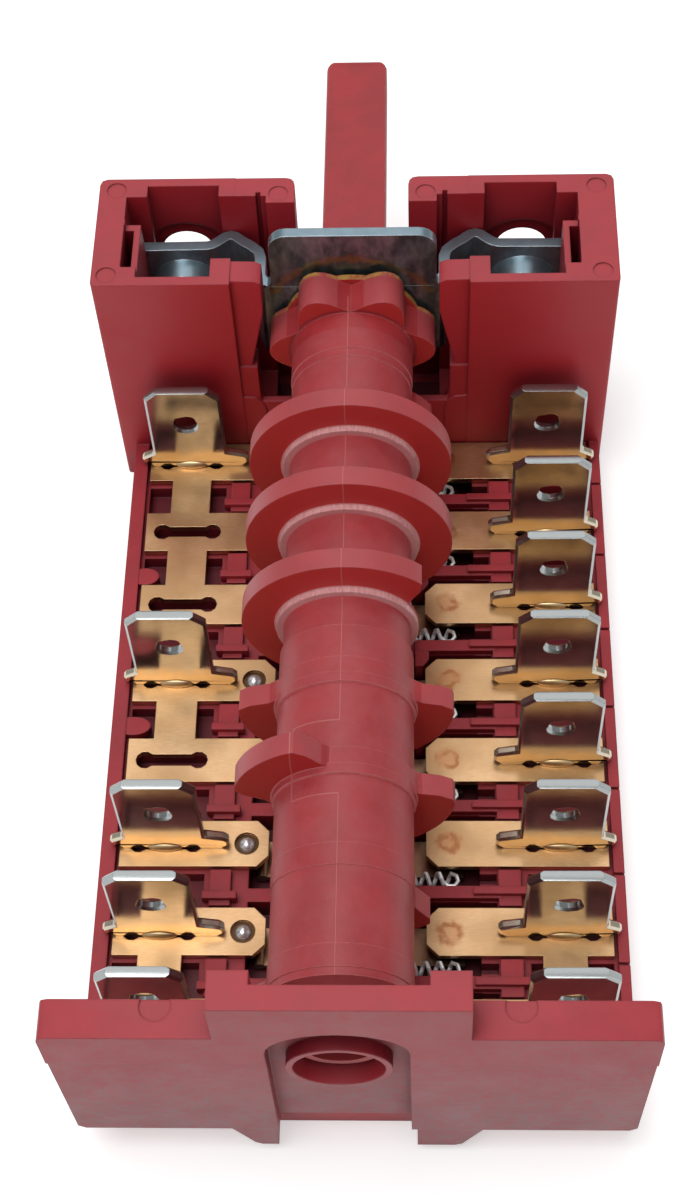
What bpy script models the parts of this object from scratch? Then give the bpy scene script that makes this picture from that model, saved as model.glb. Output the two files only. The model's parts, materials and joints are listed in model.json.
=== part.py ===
"""Eight-way oven selector switch: moulded housing, camshaft with D spindle, steel mounting
bracket, strip terminals with blade tabs, contact levers with cam followers and return springs.

Layout lengths are millimetres, measured from the camshaft axis (x = 0, z = 0) and from the rear
face of the end plate (y = 0). x points right, y towards the spindle tip, z up."""

import math

import bmesh
import bpy
from mathutils import Euler, Matrix, Vector

for old in list(bpy.data.objects):
    bpy.data.objects.remove(old, do_unlink=True)

MM = 0.001

# rows
ROWS = 8
PITCH = 7.25
ROW1_Y = 58.9
CAM_BACK = 1.9              # a row's cam lies this far behind its strip centre

# housing
BODY_X = 0.8                # middle of the housing, off the camshaft axis
BODY_W = 40.1
BASE_BOTTOM = -17.2
FLOOR_T = 1.0
GAP = 0.3                   # clearance between neighbours that move or are assembled
DROP = 0.1                  # step between faces that nearly line up
BITE = 0.5                  # depth to which joined solids run into each other
RAIL_LEFT = 1.15
RAIL_RIGHT = 0.8
TOWER_X = 0.35              # middle of the towers
TOWER_W = 41.6
TOWER_REAR = 60.9
TOWER_FRONT = 72.2
TOWER_TOP = 7.9
TOWER_WALL = 0.8
TOWER_INNER = 0.2272        # inner face of a tower, as a share of the width over both
MARK_R = 0.8
MARK_DEPTH = 0.12
PLATE_W = 39.9
PLATE_T = 2.65
PLATE_TOP = 6.2
PLATE_BOTTOM = -12.3
PLATE_STEP = 1.5            # height of the step across the plate's rear face
FOOT_BOTTOM = -15.9
BLOCK_TOP = 11.2
BLOCK_LEFT = -7.85
BLOCK_RIGHT = 8.6
BLOCK_CHEEK = 2.6
SADDLE_T = 1.7
ARCH_R = 4.7
ARCH_TOP = 7.0
ARCH_DEPTH = 1.3
BOSS_R = 3.55
BOSS_REAR = 0.25
JOURNAL_R = 3.1
SILL_TOP = -7.3

# strips and tabs
STRIP_TOP = -13.0
STRIP_T = 0.6
STRIP_W = 3.84
STRIP_SEAT = 0.1
BRIDGE_W = 3.3
TAB_W = 6.3
TAB_T = 0.8
TAB_TIP = -2.9
TAB_HOLE_R = 1.0
TAB_HOLE_Z = -7.1
SHOULDER_H = 1.8
SLOT_HOLE_R = 0.75
EYELET_R = 0.95
EYELET_DOME_R = 0.62
SLOT_SPACING = 4.23
SLOT_GAP = 0.1

# camshaft
BARREL_R = 4.75
BARREL_REAR_R = 4.95
CAM_R = 7.9
CAM_T = 1.65
CAM_RAMP = 14.0             # degrees
CAM_FOOT = 0.07             # height of a cam's base circle above the barrel
BARREL_STEP_Y = 31.5
ROUND = 36                  # sides of the turned forms
RING_R = 5.3
RING_LOW_R = 5.14
STAR_R = 6.75
STAR_VALLEY_R = 4.95
STAR_HUB_R = 5.6
HUB_PROUD = 0.12
HUB_LAP = 0.4
STAR_Y0 = 60.5
STAR_T = 3.2
SPINDLE_D = 6.0
SPINDLE_FLAT = 1.6
SPINDLE_SIDE = 2.65
SPINDLE_TIP = 92.3
HOLLOW_R = 2.3
HOLLOW_DEPTH = 4.0
JOURNAL_REAR = 1.6

# bracket
BRACKET_Y = 68.6
BRACKET_T = 0.9
BRACKET_TOP = 3.8
BRACKET_MID_TOP = 9.75
BRACKET_MID_X = (-6.5, 6.85)
BRACKET_BOTTOM = -4.4
BRACKET_BEND = 0.9
BRACKET_WAVE = 1.2
SCREW_SHARE = 0.33654       # screw axis from the camshaft axis, as a share of the towers' width
SCREW_R = 2.0
SCREW_COLLAR_R = 2.75
SCREW_COLLAR_L = 1.6

# levers, followers and springs
LEVER_TOP = -15.05
LEVER_T = 0.5
PIVOT_X = -6.9
CONTACT_X = 7.4
CONTACT_R = 0.9
CONTACT_GAP = 0.8
FIXED_CONTACT_T = 0.3
FOLLOWER_TOP = -8.5
SPRING_R = 0.54
SPRING_WIRE = 0.17
SPRING_BACK = 2.7
DETENT_T = 0.4
DETENT_LIFT = 4.4

ORIGIN = Vector((-TOWER_X, -SPINDLE_TIP / 2, -BASE_BOTTOM))
HX = (BODY_X - BODY_W / 2, BODY_X + BODY_W / 2)
TX = (TOWER_X - TOWER_W / 2, TOWER_X + TOWER_W / 2)
PX = (BODY_X - PLATE_W / 2, BODY_X + PLATE_W / 2)
SEAT = STRIP_TOP - STRIP_T - STRIP_SEAT
FLOOR_TOP = BASE_BOTTOM + FLOOR_T
ROW_Y = [ROW1_Y - PITCH * k for k in range(ROWS)]
SCREW_X = TOWER_W * SCREW_SHARE
INNER_X = TOWER_W * TOWER_INNER
STAR_FRONT = STAR_Y0 + STAR_T
MID_Y = STAR_FRONT + HUB_PROUD + GAP + BRACKET_T / 2

# strips and tabs lie inside the rails
RIGHT_IN, RIGHT_OUT = 5.82, HX[1] - RAIL_RIGHT - GAP
LEFT_IN, LEFT_OUT = -6.3, HX[0] + RAIL_LEFT + GAP
TAB_LEFT_X = LEFT_OUT + 3.54
TAB_RIGHT_X = RIGHT_OUT - 3.65

cutters = bpy.data.collections.new("cutters")
bpy.context.scene.collection.children.link(cutters)


def material(name, rgb, metallic, roughness):
    m = bpy.data.materials.new(name)
    m.use_nodes = True
    s = m.node_tree.nodes["Principled BSDF"]
    s.inputs["Base Color"].default_value = (*rgb, 1.0)
    s.inputs["Metallic"].default_value = metallic
    s.inputs["Roughness"].default_value = roughness
    return m


RED = material("red_thermoset", (0.42, 0.05, 0.05), 0.0, 0.45)
BRASS = material("brass", (0.75, 0.5, 0.28), 1.0, 0.3)
TIN = material("tinned_brass", (0.75, 0.74, 0.72), 1.0, 0.2)
ZINC = material("zinc_steel", (0.6, 0.65, 0.7), 1.0, 0.3)
SPRING = material("spring_steel", (0.7, 0.7, 0.7), 1.0, 0.25)
LEVER = material("contact_copper", (0.7, 0.45, 0.3), 1.0, 0.35)


def evaluated(ob):
    bpy.context.view_layer.update()
    deps = bpy.context.evaluated_depsgraph_get()
    return bpy.data.meshes.new_from_object(ob.evaluated_get(deps), depsgraph=deps)


def link(mesh, name):
    ob = bpy.data.objects.new(name, mesh)
    bpy.context.scene.collection.objects.link(ob)
    return ob


def merged(parts, name):
    """One object with the mesh of several, which are removed."""
    bm = bmesh.new()
    for p in parts:
        me = evaluated(p)
        me.transform(p.matrix_world)
        bm.from_mesh(me)
        bpy.data.objects.remove(p, do_unlink=True)
    me = bpy.data.meshes.new(name)
    bm.to_mesh(me)
    bm.free()
    return link(me, name)


def box(x0, x1, y0, y1, z0, z1):
    bm = bmesh.new()
    bmesh.ops.create_cube(bm, size=1.0)
    size = Vector((x1 - x0, y1 - y0, z1 - z0)) * MM
    bmesh.ops.scale(bm, vec=size, verts=bm.verts)
    mid = Vector(((x0 + x1) / 2, (y0 + y1) / 2, (z0 + z1) / 2)) * MM
    bmesh.ops.translate(bm, vec=mid, verts=bm.verts)
    me = bpy.data.meshes.new("box")
    bm.to_mesh(me)
    bm.free()
    return link(me, "box")


def rod(x, y, z, r, length, axis, sides=32, r2=None):
    """A cylinder or cone whose end is at the point given and which runs along +axis."""
    bm = bmesh.new()
    bmesh.ops.create_cone(bm, cap_ends=True, segments=sides, radius1=r * MM,
                          radius2=(r if r2 is None else r2) * MM, depth=length * MM)
    bmesh.ops.translate(bm, vec=(0, 0, length * MM / 2), verts=bm.verts)
    if axis == "y":
        bmesh.ops.rotate(bm, matrix=Euler((-math.pi / 2, 0, 0)).to_matrix(), verts=bm.verts)
    if axis == "x":
        bmesh.ops.rotate(bm, matrix=Euler((0, math.pi / 2, 0)).to_matrix(), verts=bm.verts)
    bmesh.ops.translate(bm, vec=Vector((x, y, z)) * MM, verts=bm.verts)
    me = bpy.data.meshes.new("rod")
    bm.to_mesh(me)
    bm.free()
    return link(me, "rod")


def slab(outline, plane, start, thick, holes=()):
    """A flat plate: the outline, and holes, are drawn in a plane and raised along its normal.
    plane "xy" rises along z, "xz" along y."""
    cu = bpy.data.curves.new("outline", "CURVE")
    cu.dimensions = "2D"
    cu.fill_mode = "BOTH"
    cu.extrude = thick * MM / 2
    for pts in (outline, *holes):
        sp = cu.splines.new("POLY")
        sp.points.add(len(pts) - 1)
        for p, (a, b) in zip(sp.points, pts):
            p.co = (a * MM, b * MM, 0, 1)
        sp.use_cyclic_u = True
    tmp = link(cu, "outline")
    me = evaluated(tmp)
    bpy.data.objects.remove(tmp, do_unlink=True)
    bm = bmesh.new()
    bm.from_mesh(me)
    bmesh.ops.remove_doubles(bm, verts=bm.verts, dist=1e-6)
    if plane == "xz":
        bmesh.ops.rotate(bm, matrix=Euler((math.pi / 2, 0, 0)).to_matrix(), verts=bm.verts)
        shift = Vector((0, start + thick / 2, 0))
    else:
        shift = Vector((0, 0, start + thick / 2))
    bmesh.ops.translate(bm, vec=shift * MM, verts=bm.verts)
    bmesh.ops.recalc_face_normals(bm, faces=bm.faces)
    out = bpy.data.meshes.new("slab")
    bm.to_mesh(out)
    bm.free()
    return link(out, "slab")


def ring(cx, cy, r, n):
    return [(cx + r * math.cos(2 * math.pi * k / n), cy + r * math.sin(2 * math.pi * k / n))
            for k in range(n)]


def clean(me):
    bm = bmesh.new()
    bm.from_mesh(me)
    bmesh.ops.remove_doubles(bm, verts=bm.verts, dist=1e-7)
    bm.to_mesh(me)
    bm.free()


def combine(ob, parts, how, overlapping=False):
    """Joins or cuts ob with the parts, which are removed."""
    tool = merged(parts, "tool")
    tool.hide_render = True
    tool.display_type = "WIRE"
    cutters.objects.link(tool)
    bpy.context.scene.collection.objects.unlink(tool)
    mod = ob.modifiers.new(how.title(), "BOOLEAN")
    mod.operation = how
    mod.object = tool
    mod.solver = "EXACT"
    mod.use_self = overlapping
    me = evaluated(ob)
    ob.modifiers.clear()
    ob.data = me
    bpy.data.objects.remove(tool, do_unlink=True)
    clean(me)
    return ob


def settle(ob, name, mat, smooth=None, pivot=(0.0, 0.0, 0.0)):
    """Names the finished piece, gives it its material and puts its origin on its pivot."""
    me = evaluated(ob)
    ob.modifiers.clear()
    ob.data = me
    ob.name = name
    me.name = name
    me.transform(Matrix.Translation(-Vector(pivot) * MM))
    me.materials.clear()
    me.materials.append(mat)
    ob.location = (Vector(pivot) + ORIGIN) * MM
    if smooth is not None:
        for p in me.polygons:
            p.use_smooth = True
        me.set_sharp_from_angle(angle=math.radians(smooth))
    return ob


def tower_parts(s):
    """Solids and cutters of one tower, s is -1 for the left one and 1 for the right one."""
    def span(a, b, *rest):
        return box(min(s * a, s * b), max(s * a, s * b), *rest)

    outer = abs(TX[0] if s < 0 else TX[1])
    inner = INNER_X
    star = STAR_R + GAP
    wall_in = TOWER_FRONT - TOWER_WALL
    low = BRACKET_BOTTOM - GAP
    slot_back = BRACKET_Y - BRACKET_T / 2 - GAP
    slot_front = slot_back + 2.4
    pillar = slab([(s * x, z) for x, z in (
        (inner + BITE, BASE_BOTTOM + DROP), (star + 1.3, BASE_BOTTOM + DROP), (star + 1.3, -2.5),
        (star, 4.1), (star, TOWER_TOP - 0.5), (star + 0.5, TOWER_TOP - 0.2),
        (inner + BITE, TOWER_TOP - DROP))], "xz", TOWER_REAR + 0.4, 2.1)
    foot = slab([(s * x, z) for x, z in (
        (inner + BITE, BASE_BOTTOM + 0.3), (star + 0.5, BASE_BOTTOM + 0.3), (star + 0.5, -8.3),
        (star + 0.75, -7.3), (star + 1.3, -6.7), (inner + BITE, -6.5))], "xz",
        TOWER_REAR + 0.05, 1.5)
    # end of the front wall beside the spindle, and the tower with its rounded upright edges
    front = TOWER_FRONT
    column = slab([(s * x, y) for x, y in (
        (4.6, BRACKET_Y + 0.9), (4.6, front - 0.85), (4.7, front - 0.4), (4.95, front - 0.12),
        (5.4, front - 0.02), (inner + BITE, front - 0.02), (inner + BITE, BRACKET_Y + 0.9))],
        "xy", BASE_BOTTOM + DROP, TOWER_TOP - BASE_BOTTOM - 0.12)
    add = [slab([(s * x, y) for x, y in (
        (inner, TOWER_REAR), (outer - 0.3, TOWER_REAR), (outer - 0.08, TOWER_REAR + 0.08),
        (outer, TOWER_REAR + 0.3), (outer, front - 0.6), (outer - 0.17, front - 0.17),
        (outer - 0.6, front), (inner, front))], "xy", BASE_BOTTOM, TOWER_TOP - BASE_BOTTOM)]
    more = [[pillar], [column], [foot],
            [span(star + 0.9, inner + BITE, TOWER_REAR + 0.2, TOWER_REAR + 2.2,
                  BASE_BOTTOM + 0.4, -2.7)]]
    reach = SCREW_COLLAR_R + 0.2
    hollow = [
        # open side of the pocket, towards the bracket's middle
        span(6.9, SCREW_X - 2, TOWER_REAR + 2.7, slot_back + 0.4, low, TOWER_TOP + 1),
        # pocket behind the bracket, slot for its end and pocket in the front wall
        span(SCREW_X - reach, SCREW_X + reach, TOWER_REAR + 0.85, slot_back + 0.5, low - 6,
             TOWER_TOP + 1),
        span(6.9, SCREW_X + 4.2, slot_back, slot_front, low, TOWER_TOP + 1),
        span(SCREW_X - reach - 0.3, SCREW_X + reach - 0.4, slot_front - 0.5, wall_in, low - 0.5,
             TOWER_TOP + 1)]
    fine = [
        # well behind the rib at the bracket's end, and the slit beside the column
        span(SCREW_X + reach + 0.5, SCREW_X + 4.2, TOWER_REAR + 2.0, slot_back - 0.6, 1.5,
             TOWER_TOP + 1),
        span(SCREW_X + reach - 0.2, SCREW_X + 4.15, TOWER_REAR + 1.9, slot_back + 0.3,
             TOWER_TOP - 0.7, TOWER_TOP + 1),
        span(inner - 2.1, inner - 1.7, slot_back + 0.2, slot_front + 0.4, low + 0.2,
             TOWER_TOP + 1)]
    hole = [rod(s * SCREW_X, wall_in - 0.4, 0, SCREW_R + 0.15, 3, "y"),
            rod(s * SCREW_X, wall_in - 0.4, 0, SCREW_R + 2.3, 0.75, "y", 32, SCREW_R + 1.0)]
    return add, more, hollow, fine, hole


def foot_mark(x, y, z, r):
    """The shallow round print of an ejector pin in a face that looks up."""
    return rod(x, y, z - MARK_DEPTH, r, 1, "z", 20)


def make_housing():
    rear = PLATE_T - 0.35
    base = box(*HX, rear, TOWER_FRONT - 0.2, BASE_BOTTOM, SEAT)
    towers = [tower_parts(s) for s in (-1, 1)]
    combine(base, [part for t in towers for part in t[0]], "UNION")
    for a, b in zip(towers[0][1], towers[1][1]):
        combine(base, a + b, "UNION")
    # sills in front of and behind the star well
    inside = INNER_X + BITE
    combine(base, [box(-inside, inside, TOWER_FRONT - 1.1, TOWER_FRONT - DROP,
                       BASE_BOTTOM + 0.2, BRACKET_BOTTOM - GAP)], "UNION")
    combine(base, [box(-inside, inside, TOWER_REAR + 0.15, TOWER_REAR + 0.75,
                       BASE_BOTTOM + 0.5, SILL_TOP)], "UNION")
    # side rails and end plate with its bearing block and feet
    combine(base, [box(HX[0] - 0.02, HX[0] + RAIL_LEFT, rear - DROP, TOWER_REAR + BITE,
                       SEAT - BITE, STRIP_TOP),
                   box(HX[1] - RAIL_RIGHT, HX[1] + 0.02, rear - DROP, TOWER_REAR + BITE,
                       SEAT - BITE, STRIP_TOP)], "UNION")
    turn = 0.6
    outline = [(PX[0] + turn, PLATE_TOP), (PX[0] + 0.15, PLATE_TOP - 0.2), (PX[0], PLATE_TOP - turn),
               (PX[0], PLATE_STEP), (PX[1], PLATE_STEP), (PX[1], PLATE_TOP - turn),
               (PX[1] - 0.15, PLATE_TOP - 0.2), (PX[1] - turn, PLATE_TOP),
               (BLOCK_RIGHT, PLATE_TOP), (BLOCK_RIGHT, BLOCK_TOP), (BLOCK_LEFT, BLOCK_TOP),
               (BLOCK_LEFT, PLATE_TOP)]
    combine(base, [slab(outline, "xz", 0, PLATE_T)], "UNION")
    lower = [(PX[0] + 0.05, PLATE_STEP + BITE), (PX[0] + 0.2, PLATE_BOTTOM + BITE),
             (PX[0] + 0.7, PLATE_BOTTOM), (PX[1] - 0.7, PLATE_BOTTOM),
             (PX[1] - 0.2, PLATE_BOTTOM + BITE), (PX[1] - 0.05, PLATE_STEP + BITE)]
    combine(base, [slab(lower, "xz", MARK_DEPTH, PLATE_T - 0.2)], "UNION")
    feet = [[(-8.3, PLATE_BOTTOM + BITE), (-6.6, FOOT_BOTTOM + 0.4), (-6.1, FOOT_BOTTOM),
             (-ARCH_R - 0.2, FOOT_BOTTOM), (-ARCH_R - 0.2, PLATE_BOTTOM + BITE)],
            [(ARCH_R + 0.4, PLATE_BOTTOM + BITE), (ARCH_R + 0.4, FOOT_BOTTOM),
             (ARCH_R + 3.1, FOOT_BOTTOM), (ARCH_R + 3.6, FOOT_BOTTOM + 0.3),
             (10.0, PLATE_BOTTOM + BITE)]]
    combine(base, [slab(f, "xz", MARK_DEPTH + 0.03, PLATE_T - 0.4) for f in feet], "UNION")
    # saddle over the rear barrel, and the arched recess round the bearing
    cut = [box(BLOCK_LEFT + BLOCK_CHEEK, BLOCK_RIGHT - BLOCK_CHEEK, SADDLE_T, PLATE_T + 1,
               BARREL_REAR_R + 1.6, BLOCK_TOP + 1)]
    arch = [(-ARCH_R, FOOT_BOTTOM - 2), (ARCH_R, FOOT_BOTTOM - 2), (ARCH_R, ARCH_TOP - 3.6)]
    steps = 14
    arch += [(ARCH_R * math.cos(math.pi * k / steps),
              ARCH_TOP - 3.6 + 3.6 * math.sin(math.pi * k / steps)) for k in range(1, steps)]
    arch += [(-ARCH_R, ARCH_TOP - 3.6)]
    cut.append(slab(arch, "xz", -1, 1 + ARCH_DEPTH))
    combine(base, cut, "DIFFERENCE")
    combine(base, [rod(0, BOSS_REAR, 0, BOSS_R, ARCH_DEPTH + 0.2, "y", ROUND)], "UNION")
    combine(base, [rod(0, -1, 0, JOURNAL_R, 8, "y", ROUND)], "DIFFERENCE")
    # lever bays, cells beside the posts
    bay = (-7.8, TAB_RIGHT_X - 6.2)
    cut = []
    for y in ROW_Y:
        front = min(y + 2.7, TOWER_REAR - 0.6)
        back = max(y - 3.45, PLATE_T + BITE)
        cut.append(box(*bay, back, front, FLOOR_TOP, SEAT + 5))
    combine(base, cut, "DIFFERENCE")
    post_l = (TAB_LEFT_X + 3.55, TAB_LEFT_X + 5.15)
    post_r = (TAB_RIGHT_X - 4.8, TAB_RIGHT_X - 3.1)
    cell = FLOOR_TOP + 1.2
    cut = []
    for y in ROW_Y[:-1]:
        back, front = y - 5.0, y - 2.25
        cut.append(box(LEFT_OUT, post_l[0] - 0.5, back, front, cell, SEAT + 5))
        cut.append(box(post_r[1] + 0.6, RIGHT_OUT, back, front, cell, SEAT + 5))
        cut.append(box(bay[1] - DROP, post_r[0] - DROP, back + 1.9, front, cell, SEAT + 5))
        cut.append(box(bay[1] - DROP, post_r[0] - DROP, back, back + 0.4, cell, SEAT + 5))
    combine(base, cut, "DIFFERENCE")
    # a well under every tab slot
    combine(base, [box(x - 2.9, x + 2.9, y - 0.75, y + 0.75, SEAT - 1.3, SEAT + 2)
                   for y in ROW_Y for x in (TAB_LEFT_X, TAB_RIGHT_X)], "DIFFERENCE")
    # walls between bays stand as high as the strips, each with a web end and a lip bar
    add, webs = [], []
    for y in ROW_Y[:-1]:
        mid = y - PITCH / 2 - 0.375
        add.append(box(*post_l, y - 5.1, y - 2.15, SEAT - 0.4, STRIP_TOP - DROP))
        add.append(box(*post_r, y - 5.1, y - 2.15, SEAT - 0.4, STRIP_TOP - DROP))
        add.append(box(5.2, post_r[0] + 0.2, mid - 0.5, mid + 0.5, SEAT - 0.4, STRIP_TOP - 0.05))
        webs.append(slab([(5.0, mid - 1.9), (5.65, mid - 1.9), (6.1, mid - 1.3), (6.1, mid + 0.3),
                          (5.9, mid + 0.52), (5.0, mid + 0.52)], "xy", FLOOR_TOP - 0.2,
                         STRIP_TOP - FLOOR_TOP + 0.1))
    combine(base, add, "UNION", True)
    combine(base, webs, "UNION")
    add = []
    for y in ROW_Y[:-1]:
        mid = y - PITCH / 2 - 0.375
        for a, b, m in ((post_l[0] - 0.5, post_l[1] + 0.5, mid - 0.4),
                        (post_r[0] - 1.9, post_r[1] + 0.6, mid)):
            add.append(box(a, b, m - 0.3, m + 0.3, STRIP_TOP - 0.5, STRIP_TOP + 0.35))
    combine(base, add, "UNION")
    # fine grooves where the units meet on the right rail
    combine(base, [box(HX[1] - RAIL_RIGHT - DROP, HX[1] + DROP, y - 2.65, y - 2.4,
                       STRIP_TOP - 0.4, STRIP_TOP + DROP) for y in ROW_Y[:-1]], "DIFFERENCE")
    # star well between the towers, pockets and holes in the towers
    well = STAR_R + GAP + 0.15
    combine(base, [box(-well, well, TOWER_REAR + 0.8, TOWER_FRONT - 1.3, FLOOR_TOP, SEAT + 5)],
            "DIFFERENCE")
    for k in (2, 3, 4):
        for t in towers:
            for part in t[k]:
                combine(base, [part], "DIFFERENCE")
    # prints of the ejector pins
    marks = [(x, y, TOWER_TOP, MARK_R) for x, y in (
        (TX[0] + 1.4, TOWER_FRONT - 1.2), (-5.9, TOWER_FRONT - 1.7), (6.0, TOWER_FRONT - 1.7),
        (TX[1] - 1.4, TOWER_FRONT - 1.2), (TX[0] + 1.2, TOWER_REAR + 1.1),
        (TX[1] - 1.3, TOWER_REAR + 1.1))]
    marks += [(x, PLATE_T - 0.45, PLATE_TOP, MARK_R + 0.25) for x in (-11.6, 11.8)]
    combine(base, [foot_mark(*m) for m in marks], "DIFFERENCE")
    return settle(base, "housing", RED)


def cam_outline(lobes, low):
    """Points of a cam in its own plane, angles in degrees clockwise from the top as seen from
    behind; each lobe is (start, end) of its full radius, with a ramp beyond either end."""
    pts = []
    for k in range(0, 360, 5):
        r = low
        for start, end in lobes:
            for a in (k - 360, k, k + 360):
                past = max(start - a, a - end, 0)
                if past < CAM_RAMP:
                    r = max(r, low + (CAM_R - low) * (1 - (past / CAM_RAMP) ** 1.7))
        if r > low or k % 10 == 0:
            pts.append((r * math.sin(math.radians(k)), r * math.cos(math.radians(k))))
    return pts[::-1]


CAMS = {1: [(125, 155)], 2: [(-148, 148)], 3: [(-155, 155)], 4: [(-160, 44)], 5: [(92, 268)],
        6: [(-78, -27), (93, 165)], 7: [(130, 160)], 8: [(-145, -122)]}
RINGED = {2: RING_R, 3: RING_R, 4: RING_R, 5: RING_LOW_R, 6: RING_LOW_R}


def make_camshaft():
    profile_y = PLATE_T + 2.2
    shaft = rod(0, profile_y, 0, BARREL_REAR_R, BARREL_STEP_Y - profile_y, "y", ROUND)
    combine(shaft, [rod(0, BARREL_STEP_Y - BITE, 0, BARREL_R, 26.3, "y", ROUND)], "UNION")
    combine(shaft, [rod(0, 57.0, 0, STAR_VALLEY_R - 0.05, STAR_FRONT - 57.0, "y", ROUND)],
            "UNION")
    combine(shaft, [rod(0, JOURNAL_REAR, 0, JOURNAL_R - 0.25, profile_y - JOURNAL_REAR + 0.5, "y",
                        ROUND)],
            "UNION")
    discs = []
    for k, lobes in CAMS.items():
        y = ROW_Y[k - 1] - CAM_BACK
        low = (BARREL_REAR_R if y < BARREL_STEP_Y else BARREL_R) + CAM_FOOT
        discs.append(slab(cam_outline(lobes, low), "xz", y - CAM_T / 2, CAM_T))
    combine(shaft, discs, "UNION")
    rings = [rod(0, ROW_Y[k - 1] - CAM_BACK - CAM_T / 2 - 0.45, 0, r, 0.8, "y", ROUND)
             for k, r in RINGED.items()]
    combine(shaft, rings, "UNION")
    star = []
    for k in range(0, 360, 5):
        a = math.radians(k)
        t = (1 + math.cos(math.radians(6 * (k - 30)))) / 2
        star.append(((STAR_VALLEY_R + (STAR_R - STAR_VALLEY_R) * t ** 0.8) * math.sin(a),
                     (STAR_VALLEY_R + (STAR_R - STAR_VALLEY_R) * t ** 0.8) * math.cos(a)))
    combine(shaft, [slab(star[::-1], "xz", STAR_Y0, STAR_T)], "UNION")
    combine(shaft, [rod(0, STAR_FRONT - HUB_LAP, 0, STAR_HUB_R, HUB_LAP + HUB_PROUD, "y", 40)],
            "UNION")
    spindle = rod(0, STAR_FRONT - BITE, 0, SPINDLE_D / 2, SPINDLE_TIP - STAR_FRONT + BITE, "y", ROUND)
    y0 = MID_Y + BRACKET_T / 2 + 0.5
    end = SPINDLE_TIP + 5
    combine(spindle, [box(-5, 5, y0, end, SPINDLE_FLAT, 5),
                      box(-5, -SPINDLE_SIDE, y0, end, -5, 5),
                      box(SPINDLE_SIDE, 5, y0, end, -5, 5)], "DIFFERENCE", True)
    combine(shaft, [spindle], "UNION")
    combine(shaft, [rod(0, 0, 0, HOLLOW_R, JOURNAL_REAR + HOLLOW_DEPTH, "y", 24)],
            "DIFFERENCE")
    return settle(shaft, "camshaft", RED, smooth=35)


def make_bracket():
    """Threaded ears in the towers, and a middle plate set back against the star."""
    half = BRACKET_T / 2
    side = STAR_R + GAP + half
    bend = BRACKET_BEND
    back = MID_Y - BRACKET_Y
    crest = SCREW_X - SCREW_COLLAR_R - 1.2
    wave = [(crest + x, BRACKET_WAVE * math.exp(-(x / 1.1) ** 2))
            for x in (1.9, 1.5, 1.1, 0.75, 0.4, 0.0, -0.4, -0.75, -1.1, -1.5)]
    wave += [(side + 0.7, -0.1), (side + 0.2, -0.6), (side, -1.3), (side, back + bend),
             (side - 0.3, back + 0.3)]
    right = [(SCREW_X + 3.8, 0)] + wave + [(side - bend, back)]
    left = [(-x, y) for x, y in [(SCREW_X + 3.2, 0)] + wave + [(side - bend, back)]]
    pts = left + right[::-1]
    sides = [[], []]
    for k, (x, y) in enumerate(pts):
        a = Vector(pts[max(k - 1, 0)])
        b = Vector(pts[min(k + 1, len(pts) - 1)])
        d = (b - a).normalized()
        for s, way in zip(sides, (1, -1)):
            s.append((x - d.y * half * way, BRACKET_Y + y + d.x * half * way))
    outline = sides[0] + sides[1][::-1]
    plate = slab(outline, "xy", BRACKET_BOTTOM, BRACKET_TOP - BRACKET_BOTTOM)
    wide = side - half + 0.1
    top = BRACKET_MID_TOP
    x0, x1 = BRACKET_MID_X
    r = 1.5
    arc = [(r * math.cos(math.pi / 2 * k / 5), top - r + r * math.sin(math.pi / 2 * k / 5))
           for k in range(6)]
    mid = [(wide, BRACKET_BOTTOM + BITE), (wide, BRACKET_TOP - BITE), (x1, BRACKET_TOP + BITE)]
    mid += [(x1 - r + x, z) for x, z in arc] + [(x0 + r - x, z) for x, z in arc[::-1]]
    mid += [(x0, BRACKET_TOP + BITE), (-wide, BRACKET_TOP - BITE), (-wide, BRACKET_BOTTOM + BITE)]
    combine(plate, [slab(mid, "xz", MID_Y - half + 0.02, BRACKET_T - 0.04)], "UNION")
    y0 = BRACKET_Y - half
    combine(plate, [rod(s * SCREW_X, y0 - SCREW_COLLAR_L, 0, SCREW_COLLAR_R - 0.35,
                        SCREW_COLLAR_L + half, "y", 24, SCREW_COLLAR_R) for s in (-1, 1)],
            "UNION")
    combine(plate, [rod(s * SCREW_X, y0 - 5, 0, SCREW_R, 9, "y", 24) for s in (-1, 1)],
            "DIFFERENCE")
    combine(plate, [rod(0, MID_Y - 2, 0, SPINDLE_D / 2 + GAP, 4, "y", ROUND)], "DIFFERENCE")
    return settle(plate, "mounting_bracket", ZINC)


def strip_cells(rows, side):
    """Outline of a strip over one row or of several joined by bridges."""
    half = STRIP_W / 2
    cut = 0.9
    if side == "right":
        x_in, x_out, tab = RIGHT_IN, RIGHT_OUT, TAB_RIGHT_X
    else:
        x_in, x_out, tab = LEFT_IN, LEFT_OUT, TAB_LEFT_X
    s = 1 if x_out > x_in else -1
    cells = []
    for r in rows:
        y = ROW_Y[r - 1]
        cells.append([(x_out, y - half), (x_out, y + half), (x_in + s * cut, y + half),
                      (x_in, y + half - cut), (x_in, y - half + cut),
                      (x_in + s * cut, y - half)])
    return cells, tab


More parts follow.
